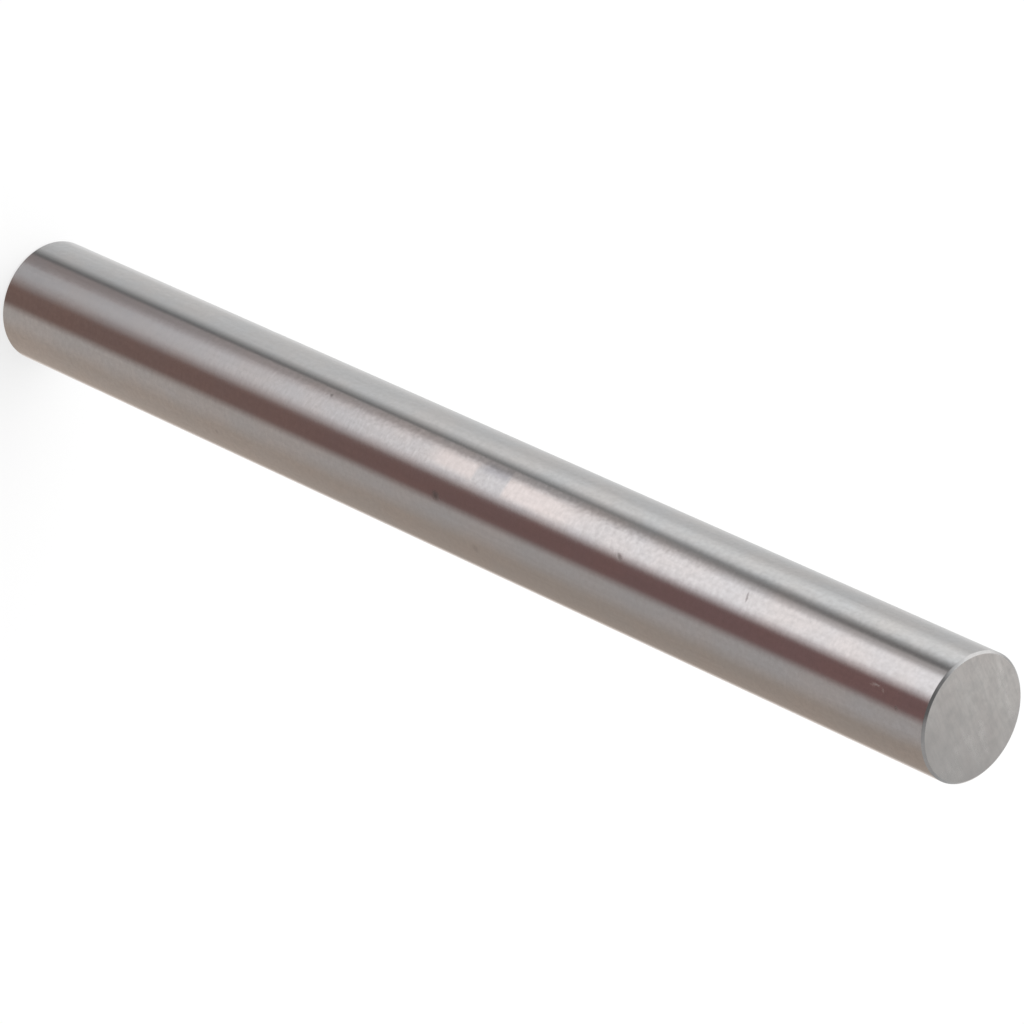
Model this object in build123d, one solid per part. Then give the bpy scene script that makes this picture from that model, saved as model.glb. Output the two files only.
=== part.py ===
from build123d import *
import os

# A plain cylindrical pin gauge, used to test the size of a hole.
#
# The gauge is one bar of hardened tool steel, ground round and straight along
# its whole length and cut square at both ends. The corner between the round
# wall and each end is broken by a small 45 degree chamfer, so that the pin
# enters a hole without scraping it.
#
# Frame: millimetres, +Z along the pin's axis. The pin stands on one end, and
# the origin is the centre of that end. The end that the photograph shows is
# the upper one.

# Driving dimensions
pin_diameter = 4.80
pin_length = 50.0
edge_break_depth = 0.085  # how far the broken corner reaches in from the wall
edge_break_height = 0.085  # how far it reaches along the axis from the end

# Sizes worked out from them
pin_radius = pin_diameter / 2
end_face_radius = pin_radius - edge_break_depth


def gauge_section():
    """Half of the pin's lengthwise section, on the XZ plane, beside the axis."""
    outline = Polyline(
        (0, 0),
        (end_face_radius, 0),
        (pin_radius, edge_break_height),
        (pin_radius, pin_length - edge_break_height),
        (end_face_radius, pin_length),
        (0, pin_length),
        close=True,
    )
    return Plane.XZ * make_face(outline)


def gauge_pin():
    """The whole pin, turned about its axis."""
    pin = revolve(gauge_section(), axis=Axis.Z)
    pin.label = "gauge_pin"
    return pin


os.makedirs("parts", exist_ok=True)
export_step(gauge_pin(), "parts/gauge_pin.step")
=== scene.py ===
import math

import bmesh
import bpy
from mathutils import Matrix, Vector


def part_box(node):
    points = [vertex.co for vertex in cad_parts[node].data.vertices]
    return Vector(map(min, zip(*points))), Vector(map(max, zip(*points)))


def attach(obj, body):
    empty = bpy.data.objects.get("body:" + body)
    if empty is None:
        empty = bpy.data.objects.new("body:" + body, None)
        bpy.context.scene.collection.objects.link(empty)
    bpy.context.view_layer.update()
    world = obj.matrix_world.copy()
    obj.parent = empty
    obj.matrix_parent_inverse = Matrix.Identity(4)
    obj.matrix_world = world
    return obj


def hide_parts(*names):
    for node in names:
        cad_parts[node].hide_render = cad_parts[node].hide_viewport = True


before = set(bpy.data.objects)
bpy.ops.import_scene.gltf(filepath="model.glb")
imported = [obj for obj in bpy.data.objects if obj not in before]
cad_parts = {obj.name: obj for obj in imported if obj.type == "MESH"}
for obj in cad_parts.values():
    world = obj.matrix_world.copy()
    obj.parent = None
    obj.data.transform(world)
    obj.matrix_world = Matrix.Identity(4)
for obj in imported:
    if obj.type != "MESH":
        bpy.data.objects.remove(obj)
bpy.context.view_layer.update()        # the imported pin, in metres, standing on its lower end at the origin
mm = 0.001

pinLow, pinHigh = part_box("gauge_pin")
pinLength = pinHigh.z - pinLow.z
pinRadius = (pinHigh.y - pinLow.y) / 2
print("stage: frame loaded, pin", round(pinLength / mm, 2), "mm by", round(2 * pinRadius / mm, 2), "mm")


# The camera. Its place follows from where the two end centres fall in the square picture.
shot = {
    "imageSize": 1024,  # pixels, both ways
    "sensorWidth": 36.0,  # mm
    "lens": 241.4,  # mm
    "topPixel": (972.9, 718.2),  # centre of the upper end
    "footPixel": (50.4, 300.1),  # centre of the lower end
    "topDistance": 232.4 * mm,  # along the line of sight
    "clipStart": 0.01,
    "clipEnd": 10,
}


def pixelRay(pixel):
    focalPixels = shot["lens"] / shot["sensorWidth"] * shot["imageSize"]
    half = shot["imageSize"] / 2
    return Vector(((pixel[0] - half) / focalPixels, (half - pixel[1]) / focalPixels, -1))


def makeCamera():
    topPoint = pixelRay(shot["topPixel"]) * shot["topDistance"]
    footRay = pixelRay(shot["footPixel"])
    # the foot lies one pin length from the top, on the far side of it
    squareTerm = footRay.dot(footRay)
    lineTerm = footRay.dot(topPoint)
    restTerm = topPoint.dot(topPoint) - pinLength ** 2
    footDistance = (lineTerm + math.sqrt(lineTerm ** 2 - squareTerm * restTerm)) / squareTerm
    footPoint = footRay * footDistance
    upWay = (topPoint - footPoint).normalized()
    sightWay = footPoint - upWay * footPoint.dot(upWay)  # level, away from the camera
    backWay = sightWay.normalized()
    turn = Matrix((backWay.cross(upWay), backWay, upWay))
    cameraData = bpy.data.cameras.new("shotCamera")
    cameraData.sensor_width = shot["sensorWidth"]
    cameraData.lens = shot["lens"]
    cameraData.clip_start = shot["clipStart"]
    cameraData.clip_end = shot["clipEnd"]
    camera = bpy.data.objects.new("shotCamera", cameraData)
    camera.matrix_world = Matrix.LocRotScale(turn @ -footPoint, turn, None)
    bpy.context.scene.collection.objects.link(camera)
    bpy.context.scene.camera = camera


# Small helpers for the node trees
def addNode(tree, kind, **settings):
    node = tree.nodes.new(kind)
    for name, value in settings.items():
        setattr(node, name, value)
    return node


def feed(tree, socket, value):
    # a socket takes another node's output, or a plain value
    if isinstance(value, bpy.types.NodeSocket):
        tree.links.new(value, socket)
    else:
        socket.default_value = value


def calc(tree, operation, first, second=0.0):
    node = addNode(tree, "ShaderNodeMath", operation=operation)
    feed(tree, node.inputs[0], first)
    feed(tree, node.inputs[1], second)
    return node.outputs[0]


def spread(tree, value, fromLow, fromHigh, toLow, toHigh, smooth=False):
    node = addNode(tree, "ShaderNodeMapRange", interpolation_type="SMOOTHSTEP" if smooth else "LINEAR")
    for socket, number in zip(node.inputs, (value, fromLow, fromHigh, toLow, toHigh)):
        feed(tree, socket, number)
    return node.outputs[0]


def mixColour(tree, share, first, second):
    node = addNode(tree, "ShaderNodeMix", data_type="RGBA")
    feed(tree, node.inputs["Factor"], share)
    colourSockets = node.inputs[6:8]  # the node's pair for colours
    for socket, colour in zip(colourSockets, (first, second)):
        feed(tree, socket, colour if isinstance(colour, bpy.types.NodeSocket) else (*colour, 1))
    return node.outputs[2]


# The studio round the pin: cards, cloths and walls, which the polished steel shows as bands. An
# angle of 0 is the camera's side, and +90 is the pin's left as it stands, -X. The floor doesn't
# show in the metal, which shows the low cards in its place.
studio = {
    # Each card runs from its start, in degrees, to the start of the next one. "soft" is how many
    # degrees its start takes to come in. A value that changes with the height is given low, halfway
    # and high, as the pin's foot, middle and top see it. A card with a "lowTint" has that tint at
    # its low end.
    "lowCards": {
        "rimCard": {"start": -180, "soft": 7, "light": 0.79, "tint": "straw"},
        "brownWall": {"start": -158, "soft": 12, "light": (0.44, 0.355, 0.375), "tint": "sand"},
        "paleWall": {
            "start": (-80, -76, -84),
            "soft": 28,
            "light": (0.51, 0.415, 0.49),
            "tint": "cream",
            "lowTint": "straw",
        },
        "darkCloth": {
            "start": -42,
            "soft": 14,
            "light": (0.165, 0.118, 0.145),
            "tint": "maroon",
            "lowTint": "umber",
        },
        "lightCard": {
            "start": (9, 6, 0),
            "soft": (30, 18, 18),
            "light": (0.43, 1.35, 1.22),
            "tint": "pearl",
        },
        "brownEdge": {
            "start": (44, 56, 41),
            "soft": (3, 5, 9),
            "light": (0.27, 0.70, 0.44),
            "tint": "cream",
            "lowTint": "rose",
        },
        "darkGap": {"start": (69, 67, 53), "soft": 4, "light": (0.14, 0.21, 0.15), "tint": "grey"},
        "brightCard": {"start": (80, 79, 68), "soft": 18, "light": (0.62, 0.93, 1.06), "tint": "white"},
        "whiteWall": {"start": 104, "soft": 20, "light": (0.74, 0.73, 0.70), "tint": "white"},
        "backWall": {"start": 145, "soft": 9, "light": (0.84, 0.76, 0.77), "tint": "white"},
    },
    "highCards": {
        "nearDoor": {"start": -180, "soft": 20, "light": 0.68, "tint": "white"},
        "farWall": {"start": -150, "soft": 50, "light": 0.44, "tint": "white"},
        "sideWall": {"start": -62, "soft": 30, "light": 0.34, "tint": "grey"},
        "blackCloth": {"start": -38, "soft": 16, "light": 0.165, "tint": "grey"},
        "greyCloth": {"start": 18, "soft": 20, "light": 0.25, "tint": "grey"},
        "whiteCloth": {"start": 67, "soft": 48, "light": 1.18, "tint": "white"},
        "backWall": {"start": 138, "soft": 24, "light": 0.60, "tint": "white"},
    },
    "viewedHeights": (-0.718, -0.678, -0.640),  # sines of low, halfway and high
    "highCardHeights": (-0.52, -0.20),  # the high cards come in between these
    "ceilingHeights": (0.80, 0.97),  # and the ceiling between these
    "ceiling": (0.50, 0.50, 0.50),
}
tints = {
    "white": (1.00, 1.00, 1.00),
    "grey": (1.02, 1.00, 1.00),
    "pearl": (1.04, 1.00, 1.01),
    "cream": (1.07, 1.00, 0.98),
    "straw": (1.10, 1.00, 0.94),
    "sand": (1.17, 1.00, 0.88),
    "rose": (1.16, 1.00, 0.99),
    "umber": (1.48, 1.00, 0.86),
    "maroon": (1.68, 1.00, 0.98),
}


def byHeight(tree, value, midShare, highShare):
    # three numbers become one that changes with the height
    if not isinstance(value, tuple):
        return value
    low, middle, high = value
    firstRise = calc(tree, "MULTIPLY", midShare, middle - low)
    secondRise = calc(tree, "MULTIPLY", highShare, high - middle)
    return calc(tree, "ADD", calc(tree, "ADD", firstRise, secondRise), low)


def rowOfCards(tree, cards, angle, midShare, highShare):
    row = None
    for card in cards.values():
        light = addNode(tree, "ShaderNodeVectorMath", operation="SCALE")
        tint = tints[card["tint"]]
        if "lowTint" in card:
            tint = mixColour(tree, midShare, tints[card["lowTint"]], tint)
        feed(tree, light.inputs[0], tint)
        feed(tree, light.inputs["Scale"], byHeight(tree, card["light"], midShare, highShare))
        if row is None:
            row = light.outputs[0]
            continue
        pastStart = calc(tree, "SUBTRACT", angle, byHeight(tree, card["start"], midShare, highShare))
        pastShare = calc(tree, "DIVIDE", pastStart, byHeight(tree, card["soft"], midShare, highShare))
        share = spread(tree, pastShare, -0.5, 0.5, 0, 1)  # half of the change lies before the start
        row = mixColour(tree, share, row, light.outputs[0])
    return row


def makeWorld():
    world = bpy.data.worlds.new("studio")
    world.use_nodes = True
    tree = world.node_tree
    tree.nodes.clear()
    ray = addNode(tree, "ShaderNodeTexCoord").outputs["Generated"]
    parts = addNode(tree, "ShaderNodeSeparateXYZ")
    feed(tree, parts.inputs[0], ray)
    left = calc(tree, "MULTIPLY", parts.outputs[0], -1)
    front = calc(tree, "MULTIPLY", parts.outputs[1], -1)
    angle = calc(tree, "DEGREES", calc(tree, "ARCTAN2", left, front))
    height = parts.outputs[2]
    low, middle, high = studio["viewedHeights"]
    midShare = spread(tree, height, low, middle, 0, 1)
    highShare = spread(tree, height, middle, high, 0, 1)
    lowRow = rowOfCards(tree, studio["lowCards"], angle, midShare, highShare)
    highRow = rowOfCards(tree, studio["highCards"], angle, midShare, highShare)
    highRowShare = spread(tree, height, *studio["highCardHeights"], 0, 1, smooth=True)
    walls = mixColour(tree, highRowShare, lowRow, highRow)
    ceilingShare = spread(tree, height, *studio["ceilingHeights"], 0, 1, smooth=True)
    room = mixColour(tree, ceilingShare, walls, studio["ceiling"])
    panels = addNode(tree, "ShaderNodeBackground")
    feed(tree, panels.inputs["Color"], room)
    white = addNode(tree, "ShaderNodeBackground")
    feed(tree, white.inputs["Color"], (1, 1, 1, 1))
    cameraRay = addNode(tree, "ShaderNodeLightPath").outputs["Is Camera Ray"]
    choose = addNode(tree, "ShaderNodeMixShader")
    feed(tree, choose.inputs[0], cameraRay)
    feed(tree, choose.inputs[1], panels.outputs[0])
    feed(tree, choose.inputs[2], white.outputs[0])
    out = addNode(tree, "ShaderNodeOutputWorld")
    feed(tree, out.inputs[0], choose.outputs[0])
    bpy.context.scene.world = world


# The floor, white to the camera, with the pin's soft shadow on it
floorLook = {
    "halfWidth": 2.0,
    "colour": (0.92, 0.92, 0.92),
    "shadowShare": 0.25,  # how much of the floor's brightness is real light, which the pin can shade
    "lampPower": 1.1,
    "lampSize": 0.30,
    "lampPlace": (-0.10, 0.06, 0.36),
}


def makeFloor():
    builder = bmesh.new()
    reach = floorLook["halfWidth"]
    corners = []
    for x, y in ((-1, -1), (1, -1), (1, 1), (-1, 1)):
        corners.append(builder.verts.new((x * reach, y * reach, 0)))
    builder.faces.new(corners)
    mesh = bpy.data.meshes.new("floor")
    builder.to_mesh(mesh)
    builder.free()
    floor = bpy.data.objects.new("floor", mesh)
    bpy.context.scene.collection.objects.link(floor)
    floor.visible_glossy = False  # the metal shows the low cards in its place
    material = bpy.data.materials.new("floorPaper")
    material.use_nodes = True
    tree = material.node_tree
    tree.nodes.clear()
    paper = addNode(tree, "ShaderNodeBsdfDiffuse")
    feed(tree, paper.inputs["Color"], (*floorLook["colour"], 1))
    glow = addNode(tree, "ShaderNodeEmission")
    feed(tree, glow.inputs["Color"], (1, 1, 1, 1))
    cameraRay = addNode(tree, "ShaderNodeLightPath").outputs["Is Camera Ray"]
    glowShare = calc(tree, "MULTIPLY", cameraRay, 1 - floorLook["shadowShare"])
    choose = addNode(tree, "ShaderNodeMixShader")
    feed(tree, choose.inputs[0], glowShare)
    feed(tree, choose.inputs[1], paper.outputs[0])
    feed(tree, choose.inputs[2], glow.outputs[0])
    out = addNode(tree, "ShaderNodeOutputMaterial")
    feed(tree, out.inputs[0], choose.outputs[0])
    mesh.materials.append(material)


def makeLamp():
    lampData = bpy.data.lights.new("softLamp", "AREA")
    lampData.shape = "DISK"
    lampData.size = floorLook["lampSize"]
    lampData.energy = floorLook["lampPower"]
    lamp = bpy.data.objects.new("softLamp", lampData)
    lamp.location = floorLook["lampPlace"]
    lamp.rotation_euler = (-lamp.location).to_track_quat("-Z", "Y").to_euler()
    lamp.visible_glossy = False  # it only throws the shadow on the floor
    bpy.context.scene.collection.objects.link(lamp)


# The pin: its shape, the marks of use on it, and the finish of its wall and of its ends
gaugePin = {
    "around": 240,  # faces round the wall
    "ringStep": 0.40 * mm,  # between rings of the wall where nothing is marked
    "fineStep": 0.05 * mm,  # and where a mark lies
    "edgeBreak": 0.085 * mm,  # the broken corner's reach, both ways
    "cornerSoftness": 0.012 * mm,  # how far the break's own corners are rounded off
    "cornerSteps": 4,
    "cornerRoom": 2.5,  # from such a corner to the next ring, in times its softness
    "endRings": 14,
    "markRoom": 1.1,  # how far the fine rings reach past a mark's middle, in times its half height
    "markSearch": 2.0,  # a mark is looked for this far from its middle, in times its half length
    "smearRings": 2,  # fine rings to each side of a smear's ends
    "smearSideFade": 6,  # degrees over which a smear's sides fade
    "closestRings": 0.3,  # rings closer than this share of the fine step become one
    # marks of use on the wall, each: height in mm, angle from the camera's side, half length and
    # half width in mm, tilt from upright, depth in mm, how dark it is (under 0 is bright)
    "marks": {
        "nickByTheDarkBand": (25.13, -16.5, 0.28, 0.18, -30, 0.002, 0.66),
        "speckOverTheLightBand": (18.11, 27.0, 0.10, 0.08, 0, 0.002, 0.35),
        "faintSpeckNearTheFoot": (12.77, -52.8, 0.11, 0.10, 0, 0.002, 0.25),
        "brownSpot": (27.33, -49.6, 0.22, 0.20, 0, 0.001, 0.24),
        "shortScratch": (40.61, 14.1, 0.24, 0.045, -70, 0.003, 0.42),
        "notchOverTheDarkBand": (34.53, 1.0, 0.20, 0.10, -38, 0.002, 0.45),
        "hookedScratch": (47.45, -8.0, 0.30, 0.050, 6, 0.003, -0.85),
        "hookedScratchEnd": (47.86, -9.6, 0.13, 0.050, -50, 0.003, -0.60),
        "speckNearTheTop": (48.61, -18.3, 0.09, 0.08, 0, 0.003, 0.40),
        "dentOnTheRight": (4.71, -89.0, 0.30, 0.30, 0, 0.012, 0.0),
        "dentOnTheLeft": (11.87, 89.0, 0.30, 0.30, 0, 0.012, 0.0),
    },
    # wiped and smeared places in the light band, each: from and to height in mm, how softly it
    # starts and ends, from and to angle, and its tone (over 0 is warm and bright, under 0 cool)
    "smears": [
        (24.3, 26.45, 0.8, 0.15, 9, 25, 0.65),
        (26.45, 28.10, 0.20, 0.15, 5, 30, -0.06),
        (26.70, 28.00, 0.30, 0.20, 20, 31, -0.80),
        (28.10, 31.60, 0.15, 2.6, 6, 25, 0.65),
    ],
    # The wall is ground round on centres, so its fine lines run round the pin. Each noise has its
    # features per metre in X, Y and Z, its layers of detail and how rough they are. A noise that
    # tints the steel has "show": the value at which its tone starts, the one at which it is full,
    # and how far it then comes through.
    "wallFinish": {
        "warmSteel": (0.620, 0.600, 0.589),
        "coolSteel": (0.593, 0.597, 0.603),
        "wornSteel": (0.46, 0.455, 0.45),
        "stain": (0.16, 0.13, 0.12),
        "scrape": (0.85, 0.83, 0.82),
        "warmSmear": (0.74, 0.68, 0.65),
        "coolSmear": (0.43, 0.44, 0.46),
        "roughness": 0.14,
        "roughnessChange": 0.05,
        "markRoughness": 0.40,  # how much rougher a mark is
        "anisotropy": 0.30,
        "grainTurn": 0.25,  # of a full turn
        "lines": {"scale": (2400, 2400, 9000), "detail": 4.0, "rough": 0.65, "show": (0.35, 0.70, 0.12)},
        "fineLines": {"scale": (4000, 4000, 26000), "detail": 2.0, "rough": 0.55},
        "chatter": {"scale": (4400, 4400, 4400), "detail": 2.0, "rough": 0.55},
        "mottle": {"scale": (5200, 5200, 5200), "detail": 4.0, "rough": 0.60, "show": (0.35, 0.70, 0.34)},
        "cloud": {"scale": (700, 700, 420), "detail": 2.0, "rough": 0.55, "show": (0.35, 0.65, 1.00)},
        # faint streaks that run along the pin
        "wipes": {"scale": (7000, 7000, 300), "detail": 2.0, "rough": 0.55, "show": (0.40, 0.70, 0.16)},
        "satinRange": (0.3, 0.7),  # of the mottle, over which the roughness changes
        "lineHeight": 0.0005 * mm,
        "fineLineShare": 0.3,  # of the line height
        "chatterShare": 1.2,
    },
    # The two ends are ground flat, with straight lines across the face.
    "endFinish": {
        "steel": (0.755, 0.722, 0.694),
        "paleSteel": (0.89, 0.86, 0.83),
        # grey of the grinding lines and mottle, and also the painted shade on the +X side of the face
        "greySteelAndShade": (0.46, 0.45, 0.44),
        "pinkSteel": (0.72, 0.665, 0.64),
        "roughness": 0.32,
        "roughnessChange": 0.16,
        "paintedShadeSide": 0.78,  # how far the grey comes through towards +X: painted shade that darkens that side of the face
        "layAngle": 58.5,  # of the lines, from +X
        "lines": {"scale": (900, 7000, 900), "detail": 4.0, "rough": 0.65, "show": (0.45, 0.70, 0.35)},
        "streaks": {"scale": (500, 1500, 500), "detail": 3.0, "rough": 0.50, "show": (0.48, 0.70, 0.60)},
        "mottle": {"scale": (2200, 2200, 2200), "detail": 4.0, "rough": 0.60, "show": (0.42, 0.70, 0.45)},
        "cloud": {"scale": (420, 420, 420), "detail": 2.0, "rough": 0.55, "show": (0.40, 0.62, 0.70)},
        "satinRange": (0.3, 0.7),  # of the streaks, over which the roughness changes
        "lineHeight": 0.004 * mm,
    },
}


def outwards(angle):
    # the level direction at an angle round the pin, 0 towards the camera
    turned = math.radians(angle)
    return Vector((-math.sin(turned), -math.cos(turned), 0))


def softCorner(before, corner, after, reach, steps):
    # a small curve in place of a sharp corner of the outline
    start = corner + (before - corner).normalized() * reach
    end = corner + (after - corner).normalized() * reach
    points = []
    for index in range(steps + 1):
        share = index / steps
        points.append(start * (1 - share) ** 2 + corner * 2 * share * (1 - share) + end * share ** 2)
    return points


def wallHeights(lowest, highest):
    heights = {lowest, highest}
    steps = round((highest - lowest) / gaugePin["ringStep"])
    for index in range(1, steps):
        heights.add(lowest + (highest - lowest) * index / steps)
    fine = gaugePin["fineStep"]
    for height, angle, halfLength, halfWidth, tilt, depth, dark in gaugePin["marks"].values():
        reach = max(halfLength * abs(math.cos(math.radians(tilt))), halfWidth) * gaugePin["markRoom"] * mm
        steps = math.ceil(reach / fine)
        for index in range(-steps, steps + 1):
            heights.add(height * mm + index * fine)
    rings = gaugePin["smearRings"]
    for fromHeight, toHeight, *rest in gaugePin["smears"]:
        for index in range(-rings, rings + 1):
            heights.add(fromHeight * mm + index * fine)
            heights.add(toHeight * mm + index * fine)
    ordered = []
    for height in sorted(h for h in heights if lowest <= h <= highest):
        if not ordered or height - ordered[-1] > gaugePin["closestRings"] * fine:
            ordered.append(height)
    return ordered


def pinOutline():
    # radius and height of every ring, from the middle of the lower end to that of the upper one
    edgeBreak = gaugePin["edgeBreak"]
    softness = gaugePin["cornerSoftness"]
    steps = gaugePin["cornerSteps"]
    room = gaugePin["cornerRoom"] * softness
    faceRadius = pinRadius - edgeBreak
    middle = Vector((0, 0))
    faceCorner = Vector((faceRadius, 0))
    wallCorner = Vector((pinRadius, edgeBreak))
    wallMiddle = Vector((pinRadius, pinLength / 2))
    endRings = gaugePin["endRings"]
    lower = [Vector((faceRadius * index / endRings, 0)) for index in range(1, endRings)]
    lower.append(Vector((faceRadius - room, 0)))
    lower += softCorner(middle, faceCorner, wallCorner, softness, steps)
    lower += softCorner(faceCorner, wallCorner, wallMiddle, softness, steps)
    lower.append(Vector((pinRadius, edgeBreak + room)))
    upper = [Vector((point.x, pinLength - point.y)) for point in reversed(lower)]
    heights = wallHeights(lower[-1].y + softness, upper[0].y - softness)
    return lower + [Vector((pinRadius, height)) for height in heights] + upper


def markAt(height, angle):
    # how deep and how dark the wall is here, from all the marks near this point
    depth = 0
    dark = 0
    for mark in gaugePin["marks"].values():
        markHeight, markAngle, halfLength, halfWidth, tilt, markDepth, markDark = mark
        rise = height / mm - markHeight
        if abs(rise) > gaugePin["markSearch"] * halfLength:
            continue
        turned = (angle - markAngle + 180) % 360 - 180
        side = math.radians(turned) * pinRadius / mm
        lean = math.radians(tilt)
        along = (rise * math.cos(lean) + side * math.sin(lean)) / halfLength
        across = (side * math.cos(lean) - rise * math.sin(lean)) / halfWidth
        near = max(0, 1 - along ** 2 - across ** 2)
        depth += markDepth * mm * near ** 2
        dark += markDark * near
    return depth, dark


def fade(past, over):
    # from 0 to 1 across an edge, half of the change on each side of it
    return min(1, max(0, past / over + 0.5))


def smearAt(height, angle):
    tone = 0
    sideFade = gaugePin["smearSideFade"]
    for fromHeight, toHeight, softStart, softEnd, fromAngle, toAngle, strength in gaugePin["smears"]:
        along = fade(height / mm - fromHeight, softStart) * fade(toHeight - height / mm, softEnd)
        across = fade(angle - fromAngle, sideFade) * fade(toAngle - angle, sideFade)
        tone += along * across * strength
    return tone


def makePin():
    around = gaugePin["around"]
    angles = [360 * index / around - 180 for index in range(around)]
    outline = pinOutline()
    faceRadius = pinRadius - gaugePin["edgeBreak"]
    sameRadius = 0.001 * mm  # rings as wide as the pin to within this are on its wall
    builder = bmesh.new()
    darkLayer = builder.verts.layers.float.new("darkMark")
    smearLayer = builder.verts.layers.float.new("smear")
    rings = []
    for point in outline:
        onWall = pinRadius - point.x < sameRadius
        ring = []
        for angle in angles:
            depth, dark = markAt(point.y, angle) if onWall else (0, 0)
            vertex = builder.verts.new(outwards(angle) * (point.x - depth) + Vector((0, 0, point.y)))
            vertex[darkLayer] = dark
            vertex[smearLayer] = smearAt(point.y, angle) if onWall else 0
            ring.append(vertex)
        rings.append(ring)
    for lower, upper, lowPoint, highPoint in zip(rings, rings[1:], outline, outline[1:]):
        isEnd = max(lowPoint.x, highPoint.x) < faceRadius
        for index in range(around):
            after = (index + 1) % around
            face = builder.faces.new((lower[after], lower[index], upper[index], upper[after]))
            face.material_index = 1 if isEnd else 0
    for ring, height in ((rings[0], 0), (rings[-1], pinLength)):
        centre = builder.verts.new((0, 0, height))
        for index in range(around):
            face = builder.faces.new((ring[index], ring[(index + 1) % around], centre))
            face.material_index = 1
    bmesh.ops.recalc_face_normals(builder, faces=builder.faces)
    for face in builder.faces:
        face.smooth = True
    mesh = bpy.data.meshes.new("gaugePin")
    builder.to_mesh(mesh)
    builder.free()
    pin = bpy.data.objects.new("gaugePin", mesh)
    bpy.context.scene.collection.objects.link(pin)
    mesh.materials.append(makeWallSteel())
    mesh.materials.append(makeEndSteel())
    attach(pin, "root")
    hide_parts("gauge_pin")
    print("stage: pin built,", len(outline), "rings,", len(mesh.polygons), "faces")


def noiseOver(tree, finish, turn=None):
    place = addNode(tree, "ShaderNodeTexCoord").outputs["Object"]
    mapping = addNode(tree, "ShaderNodeMapping")
    feed(tree, mapping.inputs["Vector"], place)
    if turn is None:
        feed(tree, mapping.inputs["Scale"], finish["scale"])
    else:
        # turned first and scaled after, so that the lines keep their direction
        mapping.vector_type = "TEXTURE"
        feed(tree, mapping.inputs["Scale"], [1 / part for part in finish["scale"]])
        feed(tree, mapping.inputs["Rotation"], (0, 0, math.radians(turn)))
    texture = addNode(tree, "ShaderNodeTexNoise")
    feed(tree, texture.inputs["Vector"], mapping.outputs[0])
    feed(tree, texture.inputs["Scale"], 1.0)
    feed(tree, texture.inputs["Detail"], finish["detail"])
    feed(tree, texture.inputs["Roughness"], finish["rough"])
    return texture.outputs[0]


def toneOver(tree, noise, finish, below, colour):
    # a colour comes in over what is below it, where the noise is strong
    start, full, share = finish["show"]
    return mixColour(tree, spread(tree, noise, start, full, 0, share), below, colour)


def addBump(tree, shader, height, distance):
    bump = addNode(tree, "ShaderNodeBump")
    feed(tree, bump.inputs["Strength"], 1.0)
    feed(tree, bump.inputs["Distance"], distance)
    feed(tree, bump.inputs["Height"], height)
    feed(tree, shader.inputs["Normal"], bump.outputs[0])


def newSteel(name):
    material = bpy.data.materials.new(name)
    material.use_nodes = True
    tree = material.node_tree
    tree.nodes.clear()
    shader = addNode(tree, "ShaderNodeBsdfPrincipled")
    shader.inputs["Metallic"].default_value = 1.0
    out = addNode(tree, "ShaderNodeOutputMaterial")
    feed(tree, out.inputs[0], shader.outputs[0])
    return material, tree, shader


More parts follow.
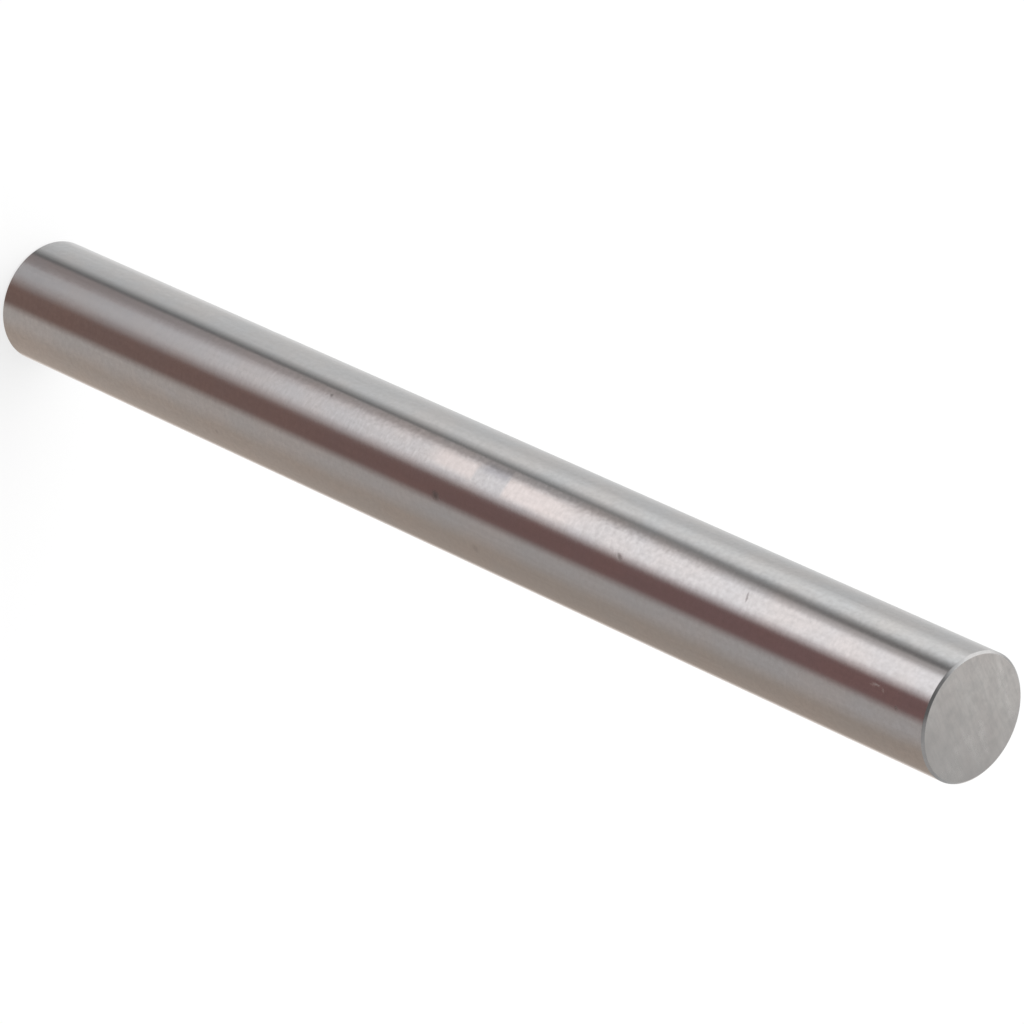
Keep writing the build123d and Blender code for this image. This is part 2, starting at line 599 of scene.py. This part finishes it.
def makeWallSteel():
    material, tree, shader = newSteel("groundWallSteel")
    look = gaugePin["wallFinish"]
    lines = noiseOver(tree, look["lines"])
    fineLines = noiseOver(tree, look["fineLines"])
    chatter = noiseOver(tree, look["chatter"])
    mottle = noiseOver(tree, look["mottle"])
    cloud = noiseOver(tree, look["cloud"])
    wipes = noiseOver(tree, look["wipes"])
    darkMark = addNode(tree, "ShaderNodeAttribute", attribute_name="darkMark").outputs["Fac"]
    smear = addNode(tree, "ShaderNodeAttribute", attribute_name="smear").outputs["Fac"]

    colour = toneOver(tree, cloud, look["cloud"], look["coolSteel"], look["warmSteel"])
    colour = toneOver(tree, mottle, look["mottle"], colour, look["wornSteel"])
    colour = toneOver(tree, lines, look["lines"], colour, look["wornSteel"])
    colour = toneOver(tree, wipes, look["wipes"], colour, look["wornSteel"])
    # smears and marks over 0 have the first tone, those under 0 the second
    colour = mixColour(tree, spread(tree, smear, 0, 1, 0, 1), colour, look["warmSmear"])
    colour = mixColour(tree, spread(tree, smear, 0, -1, 0, 1), colour, look["coolSmear"])
    colour = mixColour(tree, spread(tree, darkMark, 0, 1, 0, 1), colour, look["stain"])
    colour = mixColour(tree, spread(tree, darkMark, 0, -1, 0, 1), colour, look["scrape"])
    feed(tree, shader.inputs["Base Color"], colour)

    smoothest = look["roughness"] - look["roughnessChange"] / 2
    roughest = look["roughness"] + look["roughnessChange"] / 2
    satin = spread(tree, mottle, *look["satinRange"], smoothest, roughest)
    marked = calc(tree, "MULTIPLY", calc(tree, "ABSOLUTE", darkMark), look["markRoughness"])
    feed(tree, shader.inputs["Roughness"], calc(tree, "ADD", satin, marked))
    shader.inputs["Anisotropic"].default_value = look["anisotropy"]
    shader.inputs["Anisotropic Rotation"].default_value = look["grainTurn"]
    tangent = addNode(tree, "ShaderNodeTangent", direction_type="RADIAL", axis="Z")
    feed(tree, shader.inputs["Tangent"], tangent.outputs[0])

    deeper = calc(tree, "MULTIPLY", chatter, look["chatterShare"])
    finer = calc(tree, "MULTIPLY", fineLines, look["fineLineShare"])
    height = calc(tree, "ADD", calc(tree, "ADD", lines, deeper), finer)
    addBump(tree, shader, height, look["lineHeight"])
    return material


def makeEndSteel():
    material, tree, shader = newSteel("groundEndSteel")
    look = gaugePin["endFinish"]
    lines = noiseOver(tree, look["lines"], turn=look["layAngle"])
    streaks = noiseOver(tree, look["streaks"], turn=look["layAngle"])
    mottle = noiseOver(tree, look["mottle"])
    cloud = noiseOver(tree, look["cloud"])
    place = addNode(tree, "ShaderNodeSeparateXYZ")
    feed(tree, place.inputs[0], addNode(tree, "ShaderNodeTexCoord").outputs["Object"])
    # painted shade: the end face is made darker towards +X
    side = spread(tree, place.outputs[0], -pinRadius, pinRadius, 0, look["paintedShadeSide"])

    colour = toneOver(tree, cloud, look["cloud"], look["steel"], look["pinkSteel"])
    colour = toneOver(tree, streaks, look["streaks"], colour, look["paleSteel"])
    colour = toneOver(tree, mottle, look["mottle"], colour, look["greySteelAndShade"])
    colour = toneOver(tree, lines, look["lines"], colour, look["greySteelAndShade"])
    feed(tree, shader.inputs["Base Color"], mixColour(tree, side, colour, look["greySteelAndShade"]))

    roughest = look["roughness"] + look["roughnessChange"] / 2
    smoothest = look["roughness"] - look["roughnessChange"] / 2
    satin = spread(tree, streaks, *look["satinRange"], roughest, smoothest)
    feed(tree, shader.inputs["Roughness"], satin)
    addBump(tree, shader, lines, look["lineHeight"])
    return material


makeCamera()
print("stage: camera placed")
makeWorld()
makeFloor()
makeLamp()
print("stage: studio lit")
makePin()

bpy.context.scene.view_settings.view_transform = "Standard"
print("stage: done")
